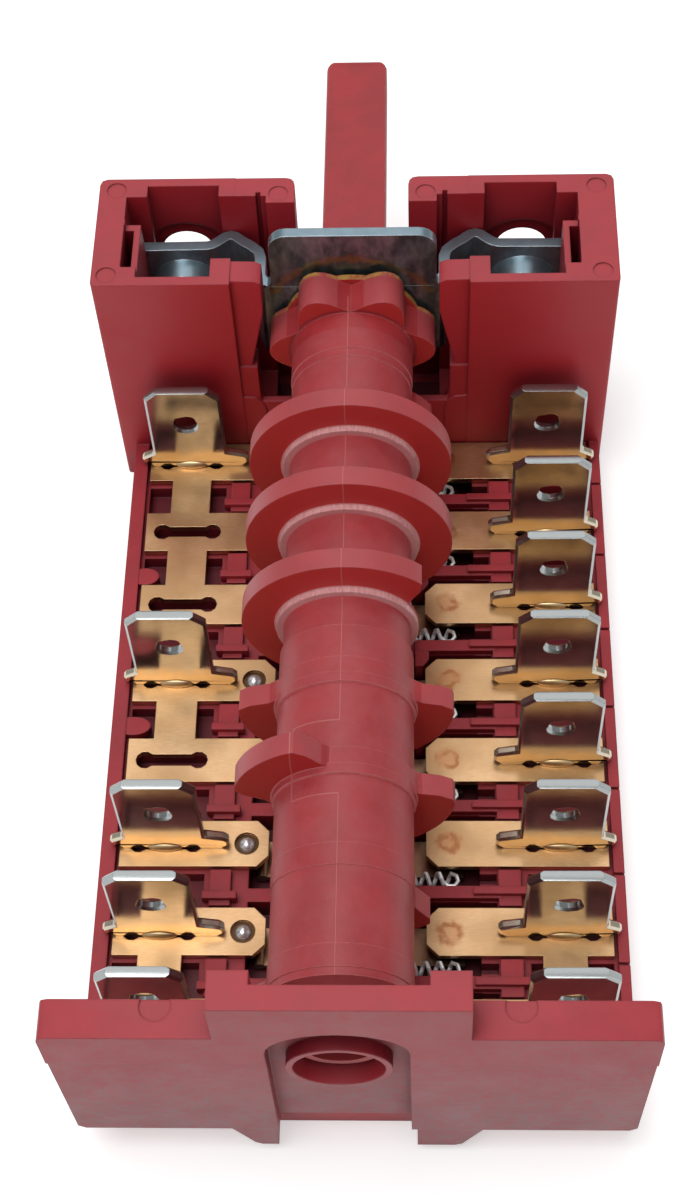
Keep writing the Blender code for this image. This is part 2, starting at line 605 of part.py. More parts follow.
def make_strip(name, rows, side, contact=None, eyelet=None):
    cells, tab = strip_cells(rows, side)
    z = STRIP_TOP - STRIP_T
    strip = slab(cells[0], "xy", z, STRIP_T)
    for c in cells[1:]:
        combine(strip, [slab(c, "xy", z, STRIP_T)], "UNION")
    for a, b in zip(rows, rows[1:]):
        bx = tab + (0.1 if side == "left" else 0.0)
        combine(strip, [box(bx - BRIDGE_W / 2, bx + BRIDGE_W / 2, ROW_Y[b - 1], ROW_Y[a - 1],
                            z, STRIP_TOP)], "UNION")
    cut = []
    for r in rows:
        y = ROW_Y[r - 1]
        w = TAB_T / 2 + SLOT_GAP
        h = SLOT_SPACING / 2
        a0 = math.asin(w / SLOT_HOLE_R)
        bone = []
        for c, base in ((h, 0.0), (-h, math.pi)):
            n = 8
            for k in range(n + 1):
                t = base - (math.pi - a0) + 2 * (math.pi - a0) * k / n
                bone.append((tab + c + SLOT_HOLE_R * math.cos(t), y + SLOT_HOLE_R * math.sin(t)))
        cut.append(slab(bone, "xy", z - 1, STRIP_T + 2))
        if eyelet and r in eyelet:
            cut.append(rod(LEFT_IN - 1.7, y, STRIP_TOP - STRIP_T / 2, EYELET_R, 1, "z", 20))
    combine(strip, cut, "DIFFERENCE")
    domes = [rod(LEFT_IN - 1.7, ROW_Y[r - 1], STRIP_TOP - STRIP_T * 0.8, EYELET_DOME_R,
                 STRIP_T * 0.8 + 0.05, "z", 20, EYELET_DOME_R * 0.55)
             for r in rows if eyelet and r in eyelet]
    if domes:
        combine(strip, domes, "UNION")
    if contact:
        combine(strip, [rod(CONTACT_X, ROW_Y[r - 1] - 0.3, z - FIXED_CONTACT_T, CONTACT_R + 0.1,
                            FIXED_CONTACT_T + 0.2, "z", 16) for r in rows], "UNION")
    return settle(strip, name, BRASS)


def make_tab(name, row, side):
    y = ROW_Y[row - 1]
    x = TAB_RIGHT_X if side == "right" else TAB_LEFT_X
    s = 1 if side == "right" else -1
    half = TAB_W / 2
    z0 = STRIP_TOP + 0.05
    c = 0.9
    pts = [(half + 0.8, z0), (half + 1.05, z0 + 0.4), (half + 1.05, z0 + 1.1), (half, z0 + 1.7),
           (half, TAB_TIP - c), (half - c, TAB_TIP), (-half + c, TAB_TIP), (-half, TAB_TIP - c),
           (-half, z0 + SHOULDER_H), (-half - 1.5, z0 + SHOULDER_H - 0.4),
           (-half - 1.8, z0 + SHOULDER_H - 0.7), (-half - 1.8, z0 + 0.4), (-half - 1.4, z0),
           (-1.55, z0), (-1.55, z0 - STRIP_T - 0.45), (1.55, z0 - STRIP_T - 0.45), (1.55, z0),
           (half + 0.3, z0), (half + 0.5, z0 + 0.35)]
    outline = [(x + s * a, b) for a, b in pts]
    tab = slab(outline, "xz", y - TAB_T / 2, TAB_T, [ring(x, TAB_HOLE_Z, TAB_HOLE_R, 12)])
    bev = tab.modifiers.new("Bevel", "BEVEL")
    bev.width = 0.0002
    bev.segments = 1
    bev.limit_method = "ANGLE"
    bev.angle_limit = math.radians(60)
    return settle(tab, name, TIN)


def make_lever(row):
    y = ROW_Y[row - 1]
    z = LEVER_TOP - LEVER_T
    lever = box(PIVOT_X, CONTACT_X + 1.3, y - 1.9, y + 1.1, z, LEVER_TOP)
    combine(lever, [rod(PIVOT_X, y - 1.9, (z + LEVER_TOP) / 2, 0.5, 3.0, "y", 16)], "UNION")
    top = STRIP_TOP - STRIP_T - FIXED_CONTACT_T - CONTACT_GAP
    combine(lever, [rod(CONTACT_X, y - 0.3, z + 0.2, CONTACT_R, top - z - 0.2, "z", 16)], "UNION")
    pivot = (PIVOT_X, y, (z + LEVER_TOP) / 2)
    return settle(lever, f"contact_lever_{row}", LEVER, pivot=pivot)


def make_follower(row):
    y = ROW_Y[row - 1] - CAM_BACK
    z0 = LEVER_TOP + 0.05
    r = 0.9
    pts = [(-1.9, z0), (1.9, z0), (1.9, z0 + 1.0), (1.2, z0 + 1.5), (r, FOLLOWER_TOP - r)]
    pts += [(r * math.cos(math.pi * k / 10), FOLLOWER_TOP - r + r * math.sin(math.pi * k / 10))
            for k in range(1, 10)]
    pts += [(-r, FOLLOWER_TOP - r), (-1.2, z0 + 1.5), (-1.9, z0 + 1.0)]
    nose = slab(pts, "xz", y - 0.8, 1.6)
    z = LEVER_TOP - LEVER_T
    pivot = (PIVOT_X, ROW_Y[row - 1], (z + LEVER_TOP) / 2)
    return settle(nose, f"cam_follower_{row}", RED, pivot=pivot)


def make_spring(row):
    y = ROW_Y[row - 1] - SPRING_BACK
    z = STRIP_TOP - 0.75
    cu = bpy.data.curves.new("coil", "CURVE")
    cu.dimensions = "3D"
    cu.bevel_depth = SPRING_WIRE * MM
    cu.bevel_resolution = 1
    cu.use_fill_caps = True
    turns, steps = 5, 7
    x0, x1 = 2.6, 7.7
    sp = cu.splines.new("POLY")
    pts = []
    for k in range(turns * steps + 1):
        t = 2 * math.pi * k / steps
        pts.append((x0 + (x1 - x0) * k / (turns * steps), y + SPRING_R * math.cos(t),
                    z + SPRING_R * math.sin(t)))
    for k in range(1, 6):
        t = math.pi * k / 5 * 1.4
        pts.append((x1 + 0.55 * math.sin(t), y + SPRING_R - 0.55 + 0.55 * math.cos(t), z))
    sp.points.add(len(pts) - 1)
    for p, c in zip(sp.points, pts):
        p.co = (c[0] * MM, c[1] * MM, c[2] * MM, 1)
    tmp = link(cu, "coil")
    me = evaluated(tmp)
    bpy.data.objects.remove(tmp, do_unlink=True)
    bm = bmesh.new()
    bm.from_mesh(me)
    bmesh.ops.remove_doubles(bm, verts=bm.verts, dist=1e-6)
    bmesh.ops.recalc_face_normals(bm, faces=bm.faces)
    out = bpy.data.meshes.new("coil")
    bm.to_mesh(out)
    bm.free()
    return settle(link(out, "coil"), f"lever_spring_{row}", SPRING, smooth=60)


def make_detent():
    """Leaf under the star with a roller-shaped bend in the lowest valley."""
    top = -STAR_VALLEY_R - 0.12
    reach = STAR_R - 0.05
    pts = []
    for share in (-1, -0.8, -0.6, -0.39, -0.24, -0.12, 0.0, 0.12, 0.24, 0.39, 0.6, 0.8, 1):
        lift = DETENT_LIFT * math.exp(-(share * 5) ** 2)
        pts.append((share * reach, top - DETENT_LIFT + lift))
    under = [(x, z - DETENT_T * (1.0 if abs(x) > 2 or abs(x) < 0.3 else 1.9)) for x, z in pts]
    rear = TOWER_REAR + 0.75 + GAP
    leaf = slab(pts[::-1] + under, "xz", rear, STAR_FRONT - HUB_LAP - GAP - rear)
    return settle(leaf, "detent_spring", SPRING)


make_housing()
make_camshaft()
make_bracket()
make_strip("common_strip_1_3", (1, 2, 3), "left")
make_strip("common_strip_4_5", (4, 5), "left", eyelet=(4,))
make_strip("common_strip_6", (6,), "left", eyelet=(6,))
make_strip("common_strip_7_8", (7, 8), "left", eyelet=(7, 8))
for n in (1, 2, 3, 4, 5, 6):
    make_strip(f"contact_strip_{n}", (n,), "right", contact=True)
make_strip("contact_strip_7_8", (7, 8), "right", contact=True)
for n in (1, 4, 6, 7, 8):
    make_tab(f"left_tab_{n}", n, "left")
for n in range(1, ROWS + 1):
    make_tab(f"right_tab_{n}", n, "right")
for n in range(1, ROWS + 1):
    make_lever(n)
    make_follower(n)
    make_spring(n)
make_detent()
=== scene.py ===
"""Looks of the oven selector switch: mouldings, plated tabs, brass strips, bracket and springs.

Sizes and places are in millimetres. Places are measured from the camshaft's axis along x and z, and
from the end plate's rear face along y. Colours are linear.
"""

import json
import math

import bmesh
import bpy
from mathutils import Matrix, Vector

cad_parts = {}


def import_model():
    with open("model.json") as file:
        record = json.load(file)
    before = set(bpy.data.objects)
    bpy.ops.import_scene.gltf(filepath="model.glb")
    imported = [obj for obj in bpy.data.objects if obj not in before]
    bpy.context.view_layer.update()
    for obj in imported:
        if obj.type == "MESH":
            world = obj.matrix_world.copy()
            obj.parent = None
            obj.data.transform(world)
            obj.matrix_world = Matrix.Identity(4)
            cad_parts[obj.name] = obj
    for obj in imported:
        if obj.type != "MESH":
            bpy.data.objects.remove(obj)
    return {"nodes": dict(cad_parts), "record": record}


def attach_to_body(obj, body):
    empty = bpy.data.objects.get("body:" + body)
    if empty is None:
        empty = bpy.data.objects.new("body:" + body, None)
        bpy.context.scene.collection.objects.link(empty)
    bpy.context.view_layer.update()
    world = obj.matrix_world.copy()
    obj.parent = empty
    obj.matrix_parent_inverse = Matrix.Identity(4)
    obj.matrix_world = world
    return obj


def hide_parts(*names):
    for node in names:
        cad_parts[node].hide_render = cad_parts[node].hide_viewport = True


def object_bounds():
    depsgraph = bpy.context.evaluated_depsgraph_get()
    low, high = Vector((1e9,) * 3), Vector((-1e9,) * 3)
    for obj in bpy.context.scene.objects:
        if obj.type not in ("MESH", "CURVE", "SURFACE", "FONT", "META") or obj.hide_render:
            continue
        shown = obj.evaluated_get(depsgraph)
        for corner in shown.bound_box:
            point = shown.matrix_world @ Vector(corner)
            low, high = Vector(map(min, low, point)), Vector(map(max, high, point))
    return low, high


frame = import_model()
CAD_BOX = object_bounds()
NODES = frame["nodes"]
RECORD = frame["record"]
BODY_OF = {node: body for body, nodes in RECORD["behaviour"]["bodies"].items() for node in nodes}
SLOT_OF = {part["node"]: part["material_slot"] for part in RECORD["subparts"]}
MM = 0.001
X, Y, Z = 0, 1, 2

# the camshaft's axis and the end plate's rear face, in the frame
TURN = next(joint for joint in RECORD["behaviour"]["joints"] if joint["name"] == "camshaft_turn")
AXIS_X = TURN["pos_m"][X] / MM
AXIS_Z = TURN["pos_m"][Z] / MM
REAR = CAD_BOX[0][Y] / MM

# rows of contacts, counted from the spindle's end
ROW1_Y = 58.9
PITCH = 7.25
RIVET_ROWS = (4, 6, 7, 8)

# housing: top of the rails, the wells between them and how far down their shade grows
RAIL_TOP = -13.6
WELLS_X = (-18.3, 20.0)
WELLS_Y = (2.8, 70.0)
WELL_SHADE = 2.0

# housing: lowest face with painted light on top, and the end plate's painted sheen: how deep, where it grows
LIT_TOP_FROM = -9.0
SHEEN_DEPTH = 1.6
SHEEN_Z = (2.0, -9.0)

# ears on the left rail: place along y and reach towards the wells
EARS = ((47.2, 1.2), (33.0, 1.45))
EAR_X = -17.6
EAR_HALF_W = 0.82
EAR_H = 1.1

# camshaft: the bare barrel's radius, the least radius of cams and of rims with painted light, where
# the barrel and its steps end, and the star's front edge
BARREL_R = 5.2
CAM_R = 5.25
RIM_R = 5.6
BARREL_FRONT = 59.0
STEPS_FRONT = 60.0
STAR_EDGE = (63.3, 64.0)

# scratched collars: radii, extent behind their row's middle, first and last row
SCRATCHED_R = (4.85, 5.45)
SCRATCHED_Y = (2.70, 3.22)
SCRATCHED_ROWS = (2, 4)

# parting line: place, front end, least height, where it fades out and is full on either side, and
# its step to the left beside the middle cams
LINE_X = -0.2
LINE_FRONT = 62.0
LINE_FROM_Z = 2.0
LINE_FADE = (0.07, 0.02)
JOG_Y = (18.0, 23.7)
JOG_X = 3.3

# spindle: length of its rounded end, the rings cut in it, how far they are drawn in as a share of
# that length, the half width below which they are drawn in less, and the share along x and z
ROUND_L = 1.1
ROUND_RINGS = (0.0, 0.3, 0.55, 0.75, 0.9)
ROUND_DEPTH = 0.8
ROUND_KEEP = 2.0
ROUND_SIDES = ((X, 1.0), (Z, 0.3))

# contact strips: weld marks, eyelets and the rivets in them
WELD_X = 7.6
WELD_RING_R = 0.68
EYELET_X = -8.0
EYELET_R = 0.93
RIVET_R = 0.66
RIVET_Z = -13.42

# blade tabs: where the blade stands clear of its root, and the rolled metal at that root
BLADE_FROM = -8.0
# heights between which the painted reflection of the brass strips comes in on the blade
GOLD_REFLECTION_Z = (-10.2, -11.4)
FOLD_SIZE = (1.42, 0.4, 0.5)
FOLD_Z = -12.85
FOLD_IN = 0.1

# bracket: half width of its middle plate, top of the strip beside it, half height of the stretch
# where the plate hides the strip's edge, the radius of rounded edges with painted highlights, and the
# line of grease round the star
MID_PLATE_HALF_W = 8.0
STRIP_TOP = 3.8
SEAM = 0.2
EDGE_R = 0.1
GREASE_R = 7.0
GREASE_FROM = 3.0

# camera that fits the photograph: place, directions, focal length and centre in its pixels
CAMERA_AT = (5.58, -44.71, 129.76)
CAMERA_RIGHT = (0.99929, 0.01636, -0.03395)
CAMERA_UP = (0.00417, 0.84740, 0.53094)
FOCAL_PX = 2038.5
PHOTO_W, PHOTO_H = 698, 1200
CENTRE_PX = (345.7, 599.9)
SENSOR = 36.0

# floor, in metres, and the distances between which its glow grows, in millimetres
FLOOR_SIZE = 3.0
FLOOR_DROP = 0.00002
GLOW_FROM, GLOW_TO = 150.0, 450.0

HOUSING_RED = (0.36, 0.026, 0.036)
CAMSHAFT_RED = (0.37, 0.03, 0.036)
FOLLOWER_RED = (0.3, 0.02, 0.03)
SPECK_PINK = (0.6, 0.19, 0.19)
EDGE_PINK = (0.62, 0.24, 0.23)
# painted light: a brighter red for faces turned to the rear
REAR_LIT_RED = (0.54, 0.024, 0.034)
# painted sheen: dull greyish pink on the end plate's outer face
SHEEN_PINK = (0.28, 0.165, 0.175)
# painted light: a paler red for the upward faces of the towers and the plate
LIT_TOP_RED = (0.5, 0.085, 0.1)
# painted shade down in the wells
WELL_SHADE_COLOUR = (0.05, 0.004, 0.008)
# painted shade in the housing's gaps and corners
HOUSING_GAP_SHADE = (0.09, 0.004, 0.012)
# painted shade in the followers' gaps
FOLLOWER_GAP_SHADE = (0.07, 0.003, 0.01)
# painted light: a deeper red on the cams' rear faces
CAM_REAR_LIT = (0.58, 0.034, 0.03)
# painted light: pale pink on the barrel's steps where they face the rear
STEP_LIT_PINK = (0.85, 0.3, 0.3)
# painted light: paler pink on the rims' outer faces
RIM_LIT_PINK = (0.52, 0.13, 0.14)
SCRATCH_PINK = (0.78, 0.42, 0.42)
LINE_PINK = (0.7, 0.28, 0.24)
BARREL_DUST = (0.42, 0.12, 0.13)
GREASE_YELLOW = (0.5, 0.3, 0.06)

BRASS_DARK, BRASS_LIGHT = (0.6, 0.36, 0.19), (0.78, 0.53, 0.3)
BRASS_CLOUD = (0.62, 0.34, 0.16)
BRASS_SHADE = (0.42, 0.25, 0.12)
# painted highlight on the brass's edges
BRASS_EDGE_HIGHLIGHT = (0.92, 0.7, 0.42)
# painted shade in the brass's gaps
BRASS_GAP_SHADE = (0.2, 0.08, 0.03)
WELD_HEAT, WELD_RING = (0.5, 0.2, 0.08), (0.34, 0.12, 0.05)
# painted shade in the eyelets round the rivets
EYELET_SHADE = (0.06, 0.035, 0.02)

TIN_DARK, TIN_LIGHT = (0.54, 0.52, 0.45), (0.74, 0.71, 0.62)
TIN_BRUSHED = (0.3, 0.28, 0.25)
TIN_SIDE = (0.36, 0.38, 0.38)
# painted reflection of the brass strips, gold low on the tabs
GOLD_REFLECTION = (0.96, 0.76, 0.46)

ZINC_DARK, ZINC_LIGHT = (0.25, 0.33, 0.37), (0.48, 0.58, 0.63)
ZINC_STAIN = (0.07, 0.11, 0.13)
# painted shade: darker teal grey on the top faces
ZINC_TOP_SHADE = (0.2, 0.28, 0.33)
# painted highlight on the bracket's edges
ZINC_EDGE_HIGHLIGHT = (0.8, 0.88, 0.93)
GREASE_BROWN = (0.4, 0.27, 0.07)

# painted shade for metal parts where they are shut in
METAL_GAP_SHADE = (0.02, 0.015, 0.012)


class Shader:
    """A new material with short names for its nodes; x, y and z are the place in millimetres."""

    def __init__(self, name):
        self.mat = bpy.data.materials.new(name)
        self.mat.use_nodes = True
        self.tree = self.mat.node_tree
        self.principled = self.tree.nodes["Principled BSDF"]
        self.at = self.scaled(self.node("TexCoord").outputs["Object"], (1 / MM, 1 / MM, 1 / MM))
        self.x, self.y, self.z = self.parts(self.at)

    def node(self, kind, **settings):
        made = self.tree.nodes.new("ShaderNode" + kind)
        for key, value in settings.items():
            setattr(made, key, value)
        return made

    def link(self, a, b):
        self.tree.links.new(a, b)

    def put(self, socket, value):
        """Fills a socket with a number, a vector, a colour or another node's output."""
        if isinstance(value, (int, float)):
            socket.default_value = value
        elif isinstance(value, tuple):
            socket.default_value = (*value, 1.0) if socket.type == "RGBA" else value
        else:
            self.link(value, socket)

    def parts(self, vector):
        n = self.node("SeparateXYZ")
        self.link(vector, n.inputs[0])
        return n.outputs

    def scaled(self, vector, by):
        n = self.node("VectorMath", operation="MULTIPLY")
        self.link(vector, n.inputs[0])
        n.inputs[1].default_value = by
        return n.outputs[0]

    def math(self, operation, a, b=0.0):
        n = self.node("Math", operation=operation)
        self.put(n.inputs[0], a)
        self.put(n.inputs[1], b)
        return n.outputs[0]

    def plus(self, a, b):
        return self.math("ADD", a, b)

    def minus(self, a, b):
        return self.math("SUBTRACT", a, b)

    def times(self, product, *more):
        for value in more:
            product = self.math("MULTIPLY", product, value)
        return product

    def apart(self, a, b):
        return self.math("ABSOLUTE", self.minus(a, b))

    def length(self, a, b):
        return self.math("SQRT", self.plus(self.times(a, a), self.times(b, b)))

    def above(self, value, limit):
        return self.math("GREATER_THAN", value, limit)

    def below(self, value, limit):
        return self.math("LESS_THAN", value, limit)

    def between(self, value, low, high):
        return self.times(self.above(value, low), self.below(value, high))

    def noise(self, scale, detail=3.0, rough=0.5, stretch=None):
        n = self.node("TexNoise")
        n.inputs["Scale"].default_value = scale
        n.inputs["Detail"].default_value = detail
        n.inputs["Roughness"].default_value = rough
        self.link(self.scaled(self.at, stretch) if stretch else self.at, n.inputs["Vector"])
        return n.outputs["Fac"]

    def ramp(self, value, low, high, a=0.0, b=1.0):
        """Runs from a to b as value goes from low to high, and stays there outside them."""
        n = self.node("MapRange")
        self.link(value, n.inputs["Value"])
        for key, v in (("From Min", low), ("From Max", high), ("To Min", a), ("To Max", b)):
            n.inputs[key].default_value = v
        return n.outputs["Result"]

    def mix(self, share, a, b):
        """From colour a at share 0 to colour b at share 1."""
        n = self.node("Mix", data_type="RGBA")
        self.put(n.inputs["Factor"], share)
        first, second = [s for s in n.inputs if s.type == "RGBA"]
        self.put(first, a)
        self.put(second, b)
        return next(s for s in n.outputs if s.type == "RGBA")

    def facing(self, axis):
        """Component of the surface normal along x, y or z."""
        return self.parts(self.node("NewGeometry").outputs["Normal"])[axis]

    def shut_in(self, reach):
        """1 deep in a gap, 0 in the open; the mask for painted shade in gaps."""
        n = self.node("AmbientOcclusion", samples=4)
        n.inputs["Distance"].default_value = reach * MM
        return self.ramp(n.outputs["AO"], 0.75, 0.2)

    def edge(self, radius):
        """Surface normal with the edges rounded; radius is a number or, in metres, a node's output."""
        n = self.node("Bevel", samples=4)
        self.put(n.inputs["Radius"], radius * MM if isinstance(radius, float) else radius)
        return n.outputs["Normal"]

    def edge_wear_and_highlight(self, radius):
        """1 on sharp edges, 0 on flat stretches; gives both edge wear and painted edge highlights."""
        n = self.node("VectorMath", operation="DOT_PRODUCT")
        self.link(self.edge(radius), n.inputs[0])
        self.link(self.node("NewGeometry").outputs["Normal"], n.inputs[1])
        return self.ramp(n.outputs["Value"], 0.995, 0.85)

    def bump(self, height, strength, distance, normal):
        n = self.node("Bump")
        n.inputs["Strength"].default_value = strength
        n.inputs["Distance"].default_value = distance * MM
        self.link(height, n.inputs["Height"])
        self.link(normal, n.inputs["Normal"])
        return n.outputs["Normal"]

    def from_axis(self):
        """Place across the camshaft's axis, along x and z, and the distance from it."""
        dx = self.minus(self.x, AXIS_X)
        dz = self.minus(self.z, AXIS_Z)
        return dx, dz, self.length(dx, dz)

    def from_row(self, x):
        """Distance from the point at x in the middle of the nearest row, and that row's number."""
        dx = self.minus(self.x, AXIS_X + x)
        back = self.math("DIVIDE", self.minus(REAR + ROW1_Y, self.y), PITCH)
        nearest = self.math("ROUND", back)
        dy = self.times(self.minus(back, nearest), PITCH)
        return self.length(dx, dy), self.plus(nearest, 1.0)

    def finish(self, **values):
        for key, value in values.items():
            self.put(self.principled.inputs[key.replace("_", " ")], value)
        return self.mat


def moulded(m, base, speck=0.25):
    """Colour and roughness of a mottled red thermoset with paler edges rubbed by wear."""
    fine = m.noise(7.0, 4.0, 0.7)
    soft = m.noise(0.3, 3.0, 0.6)
    col = m.mix(m.ramp(soft, 0.35, 0.65), tuple(c * 0.9 for c in base), tuple(c * 1.12 for c in base))
    col = m.mix(m.ramp(fine, 0.6, 0.8, 0.0, speck), col, SPECK_PINK)
    mottle = m.ramp(m.noise(2.2, 4.0, 0.7), 0.35, 0.7, 0.05, 0.55)
    col = m.mix(m.times(m.edge_wear_and_highlight(0.16), mottle), col, EDGE_PINK)
    return col, m.ramp(soft, 0.3, 0.7, 0.4, 0.52)


def housing_material():
    """Painted sheen of dull greyish pink on the end plate's outer face, painted shade down in the wells."""
    m = Shader("housing_red")
    col, rough = moulded(m, HOUSING_RED)
    # painted light: faces turned to the rear get a brighter red
    col = m.mix(m.ramp(m.facing(Y), -0.7, -0.95, 0.0, 0.8), col, REAR_LIT_RED)
    # painted sheen on the end plate's outer face, patchy and stronger lower down
    face = m.times(m.below(m.y, REAR + SHEEN_DEPTH), m.ramp(m.facing(Y), -0.6, -0.85))
    patch = m.ramp(m.noise(1.3, 5.0, 0.72), 0.32, 0.68, 0.5, 0.95)
    low = m.ramp(m.z, AXIS_Z + SHEEN_Z[0], AXIS_Z + SHEEN_Z[1], 0.6, 1.0)
    col = m.mix(m.times(face, patch, low), col, SHEEN_PINK)
    # painted light: upward faces high on the housing get a paler red
    top = m.times(m.ramp(m.facing(Z), 0.7, 0.95, 0.0, 0.35), m.above(m.z, AXIS_Z + LIT_TOP_FROM))
    col = m.mix(top, col, LIT_TOP_RED)
    # painted shade: the wells darken below the rails' top
    deep = m.ramp(m.z, AXIS_Z + RAIL_TOP, AXIS_Z + RAIL_TOP - WELL_SHADE)
    deep = m.times(deep, m.between(m.x, AXIS_X + WELLS_X[0], AXIS_X + WELLS_X[1]))
    deep = m.times(deep, m.between(m.y, REAR + WELLS_Y[0], REAR + WELLS_Y[1]))
    col = m.mix(m.times(deep, 0.92), col, WELL_SHADE_COLOUR)
    # painted shade where the housing is shut in
    col = m.mix(m.times(m.shut_in(5.0), 0.7), col, HOUSING_GAP_SHADE)
    rough = m.plus(rough, m.times(face, 0.1))
    normal = m.bump(m.noise(14.0, 3.0, 0.6), 0.25, 0.02, m.edge(0.2))
    return m.finish(Base_Color=col, Roughness=rough, Normal=normal, Specular_IOR_Level=0.35)


def scratched_collars(m, r):
    """The collars behind the cams of a few rows, scratched pale."""
    behind = m.math("DIVIDE", m.minus(REAR + ROW1_Y, m.y), PITCH)
    first, last = SCRATCHED_ROWS
    band = m.between(m.math("FRACT", behind), SCRATCHED_Y[0] / PITCH, SCRATCHED_Y[1] / PITCH)
    band = m.times(band, m.between(behind, first - 1, last), m.between(r, *SCRATCHED_R))
    scratch = m.noise(2.0, 4.0, 0.75, (3.0, 0.6, 0.6))
    return m.times(band, m.ramp(scratch, 0.3, 0.6, 0.5, 1.0))


def parting_line(m, dx, dz):
    """The mould's parting line along the top, with its step beside the middle cams."""
    jog = m.between(m.y, REAR + JOG_Y[0], REAR + JOG_Y[1])
    off = m.apart(dx, m.minus(LINE_X, m.times(jog, JOG_X)))
    across = m.between(dx, LINE_X - JOG_X, LINE_X)
    for y in JOG_Y:
        far = m.plus(m.apart(m.y, REAR + y), m.minus(1.0, across))
        off = m.math("MINIMUM", off, far)
    line = m.times(m.ramp(off, *LINE_FADE), m.above(dz, LINE_FROM_Z))
    return m.times(line, m.below(m.y, REAR + LINE_FRONT))


def camshaft_material():
    """Painted light: deeper red cam faces, pale rims and steps; dusty barrel, scratched collars, grease at
    star.
    """
    m = Shader("camshaft_red")
    col, rough = moulded(m, CAMSHAFT_RED, 0.42)
    dx, dz, r = m.from_axis()
    rear = m.ramp(m.facing(Y), -0.75, -0.95)
    cam = m.above(r, CAM_R)
    # painted light: the cams' rear faces get a deeper red
    col = m.mix(m.times(rear, cam, 0.8), col, CAM_REAR_LIT)
    step = m.times(rear, m.minus(1.0, cam), m.below(m.y, REAR + STEPS_FRONT))
    # painted light: the rear faces of the barrel's steps turn pale pink
    col = m.mix(step, col, STEP_LIT_PINK)
    rim = m.times(m.above(r, RIM_R), m.ramp(m.facing(Y), -0.6, -0.3), 0.3)
    # painted light: rims facing away from the rear turn paler pink
    col = m.mix(rim, col, RIM_LIT_PINK)
    col = m.mix(scratched_collars(m, r), col, SCRATCH_PINK)
    line = parting_line(m, dx, dz)
    col = m.mix(m.times(line, 0.35), col, LINE_PINK)
    barrel = m.times(m.below(r, BARREL_R), m.below(m.y, REAR + BARREL_FRONT))
    col = m.mix(m.times(barrel, m.ramp(m.noise(0.5, 4.0, 0.7), 0.3, 0.7, 0.05, 0.3)), col, BARREL_DUST)
    grease = m.between(m.y, REAR + STAR_EDGE[0], REAR + STAR_EDGE[1])
    grease = m.times(grease, m.ramp(m.noise(0.9, 4.0, 0.7), 0.42, 0.6, 0.0, 0.8))
    col = m.mix(grease, col, GREASE_YELLOW)
    # the shallow steps of the barrel get a finer edge than the cams and the star
    thick = m.math("MAXIMUM", cam, m.above(m.y, REAR + BARREL_FRONT))
    normal = m.edge(m.ramp(thick, 0.0, 1.0, 0.02 * MM, 0.14 * MM))
    normal = m.bump(m.noise(12.0, 3.0, 0.6), 0.25, 0.02, normal)
    normal = m.bump(line, 0.5, 0.04, normal)
    return m.finish(Base_Color=col, Roughness=rough, Normal=normal, Specular_IOR_Level=0.45)


def follower_material():
    m = Shader("follower_red")
    col, rough = moulded(m, FOLLOWER_RED)
    # painted shade where the followers are shut in
    col = m.mix(m.times(m.shut_in(4.0), 0.6), col, FOLLOWER_GAP_SHADE)
    return m.finish(Base_Color=col, Roughness=rough, Specular_IOR_Level=0.35, Normal=m.edge(0.12))


def weld_marks(m, col):
    """Brown heat marks on each row of the right strips, with a broken ring in them."""
    r, _ = m.from_row(WELD_X)
    r = m.plus(r, m.ramp(m.noise(0.9, 3.0, 0.6), 0.2, 0.8, -0.45, 0.45))
    col = m.mix(m.ramp(r, 1.25, 0.6, 0.0, 0.4), col, WELD_HEAT)
    broken = m.ramp(m.noise(0.7, 2.0, 0.5), 0.42, 0.56, 0.15, 0.75)
    return m.mix(m.times(m.ramp(m.apart(r, WELD_RING_R), 0.34, 0.1), broken), col, WELD_RING)


def shaded_eyelets(m, col):
    """Painted shade in the left strips' eyelets, round the rivets."""
    r, row = m.from_row(EYELET_X)
    riveted = 0.0
    for number in RIVET_ROWS:
        riveted = m.math("MAXIMUM", riveted, m.below(m.apart(row, float(number)), 0.5))
    # painted shade in the eyelets of the riveted rows
    return m.mix(m.times(m.below(r, EYELET_R), riveted), col, EYELET_SHADE)


def brass_material(name, marks):
    """Rolled brass with long streaks and tarnish; marks adds what the strips of one side carry."""
    m = Shader(name)
    streak = m.noise(6.0, 4.0, 0.7, (0.25, 3.0, 1.0))
    cloud = m.noise(0.6, 3.0, 0.6)
    col = m.mix(m.ramp(streak, 0.3, 0.7), BRASS_DARK, BRASS_LIGHT)
    col = m.mix(m.ramp(cloud, 0.35, 0.7, 0.0, 0.55), col, BRASS_CLOUD)
    col = m.mix(m.ramp(m.noise(0.16, 2.0, 0.5), 0.4, 0.62, 0.0, 0.75), col, BRASS_SHADE)
    # painted highlight along the edges
    col = m.mix(m.times(m.edge_wear_and_highlight(0.08), 0.6), col, BRASS_EDGE_HIGHLIGHT)
    col = marks(m, col)
    # painted shade where the brass is shut in
    col = m.mix(m.times(m.shut_in(1.5), 0.5), col, BRASS_GAP_SHADE)
    rough = m.ramp(streak, 0.2, 0.8, 0.26, 0.38)
    normal = m.bump(streak, 0.12, 0.01, m.edge(0.08))
    return m.finish(Base_Color=col, Metallic=1.0, Roughness=rough, Normal=normal)


